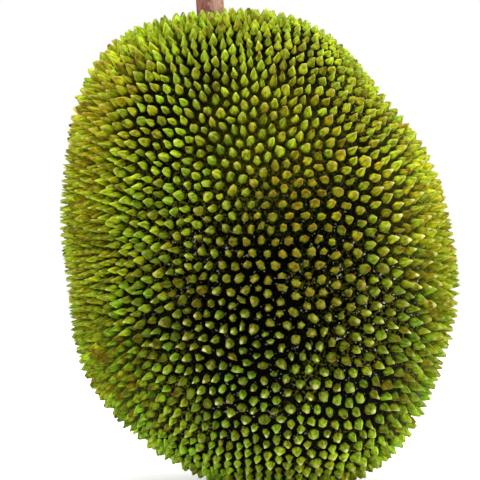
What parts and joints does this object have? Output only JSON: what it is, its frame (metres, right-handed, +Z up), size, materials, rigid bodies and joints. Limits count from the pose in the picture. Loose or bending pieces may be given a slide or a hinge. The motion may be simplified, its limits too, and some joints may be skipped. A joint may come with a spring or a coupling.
{
  "type": "whole jackfruit",
  "caption": "Whole spiny jackfruit with its cut woody stalk, standing on a small flat spot of blunted spines at its blossom end.",
  "frame": {"origin": "middle of the flat spot that the fruit stands on, on the face of the blunted spine there", "axes": "+Z up, towards the stalk; the fruit's long axis leans towards -X at its stalk end; -Y is the side with the fullest view in the usual presentation"},
  "size_m": [0.255, 0.25, 0.3489],
  "materials": {
    "rind": "satin yellow-green spines with near-black grooves between them",
    "stalk_wood": "matt mauve-brown bark, paler at the cut end"
  },
  "bodies": {
    "root": {"fruit": "rind", "stalk": "stalk_wood"}
  },
  "joints": []
}
